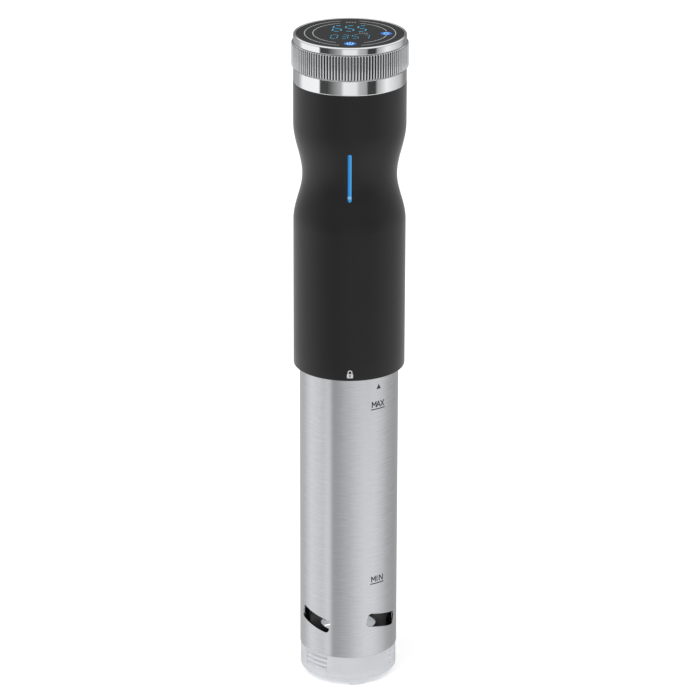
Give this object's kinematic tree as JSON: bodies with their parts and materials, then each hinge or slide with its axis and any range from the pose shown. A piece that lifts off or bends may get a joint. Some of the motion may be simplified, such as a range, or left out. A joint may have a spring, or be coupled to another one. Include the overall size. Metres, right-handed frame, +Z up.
{
  "type": "sous vide circulator",
  "caption": "Stick immersion circulator: waisted matt black handle with a turning chrome dial round a touch display, and a slotted steel sleeve over heater and pump.",
  "frame": {"origin": "on the long axis, at the plane of the feet, on the middle foot of the base cap", "axes": "+Z up along the sleeve and handle, -Y to the front with the light bar, +X to the right as seen from the front"},
  "size_m": [0.0648, 0.0878, 0.3835],
  "materials": {
    "soft_touch_black": "soft-touch coated, matt",
    "blue_light_pipe": "clear acrylic lit blue",
    "circuit_board": "solder mask",
    "chrome_plated": "polished plating",
    "black_silicone": "moulded",
    "acetal_white": "moulded",
    "black_abs": "moulded",
    "display_module": "moulded, tinted face",
    "conductive_foam": "foam",
    "black_glass": "back-printed, polished",
    "black_nylon": "moulded",
    "steel_hardware": "zinc plated",
    "red_silicone": "moulded",
    "copper_winding": "enamelled wire",
    "capacitor_sleeve": "shrink sleeve",
    "relay_blue": "moulded",
    "transformer_tape": "polyester tape",
    "aluminium": "extruded",
    "ribbon_grey": "PVC",
    "heater_sheath": "drawn, heat tinted",
    "ceramic_white": "glazed",
    "polished_steel": "polished",
    "bronze": "sintered",
    "satin_chrome": "satin plating, ribbed",
    "magnet_nickel": "nickel plated",
    "rotor_iron": "laminated",
    "grey_nylon": "moulded",
    "brushed_stainless": "brushed round the tube",
    "frosted_clear": "translucent, frosted",
    "clear_silicone": "moulded"
  },
  "bodies": {
    "handle": {"handle_housing": "soft_touch_black", "light_bar": "blue_light_pipe", "light_board": "circuit_board", "neck_ring": "chrome_plated", "neck_seal": "black_silicone", "glide_ring": "acetal_white", "display_carrier": "black_abs", "display_board": "circuit_board", "digit_display": "display_module", "touch_pads": "conductive_foam", "bezel_ring": "chrome_plated", "touch_glass": "black_glass", "cord_gland": "black_nylon", "gland_nut": "steel_hardware", "bulkhead": "black_nylon", "bulkhead_seal": "black_silicone", "bulkhead_screws": "steel_hardware", "shaft_seal": "red_silicone", "motor_mount": "black_abs", "motor_case": "steel_hardware", "motor_stator": "copper_winding", "board_frame": "black_abs", "power_board": "circuit_board", "board_capacitor": "capacitor_sleeve", "board_relay": "relay_blue", "board_transformer": "transformer_tape", "heat_sink": "aluminium", "ribbon_cable": "ribbon_grey", "heater_tube": "heater_sheath", "thermal_fuse": "ceramic_white", "temperature_probe": "polished_steel", "level_rods": "polished_steel", "shaft_tube": "polished_steel", "shaft_bearings": "bronze", "pump_cage": "black_nylon", "clip_bracket": "black_nylon", "bracket_screws": "steel_hardware", "clip_pin": "steel_hardware", "clip_spring": "steel_hardware"},
    "dial": {"dial_ring": "satin_chrome", "dial_magnets": "magnet_nickel"},
    "rotor": {"drive_shaft": "polished_steel", "impeller": "black_nylon", "motor_rotor": "rotor_iron"},
    "collar": {"twist_collar": "grey_nylon"},
    "sleeve": {"sleeve_tube": "brushed_stainless"},
    "cap": {"base_cap": "frosted_clear", "cap_feet": "frosted_clear", "cap_seal": "clear_silicone"},
    "clip": {"clip_lever": "black_nylon", "clip_pad": "black_silicone"}
  },
  "joints": [
    {"name": "dial_turn", "type": "hinge", "parent": "handle", "child": "dial", "pos_m": [0, 0, 0.3721], "axis": [0, 0, 1], "continuous": true},
    {"name": "rotor_spin", "type": "hinge", "parent": "handle", "child": "rotor", "pos_m": [0, 0, 0.15], "axis": [0, 0, 1], "continuous": true},
    {"name": "collar_twist", "type": "hinge", "parent": "handle", "child": "collar", "pos_m": [0, 0, 0.184], "axis": [0, 0, 1], "range_deg": [-37, 0]},
    {"name": "sleeve_slide", "type": "slide", "parent": "collar", "child": "sleeve", "axis": [0, 0, -1], "range_m": [0, 0.18]},
    {"name": "cap_pull", "type": "slide", "parent": "sleeve", "child": "cap", "axis": [0, 0, -1], "range_m": [0, 0.02]},
    {"name": "clip_open", "type": "hinge", "parent": "handle", "child": "clip", "pos_m": [0, 0.041, 0.2341], "axis": [1, 0, 0], "range_deg": [0, 16], "stiffness_Nm_per_rad": 0.9, "springref_deg": -22.92, "deforming": ["clip_spring"]}
  ]
}
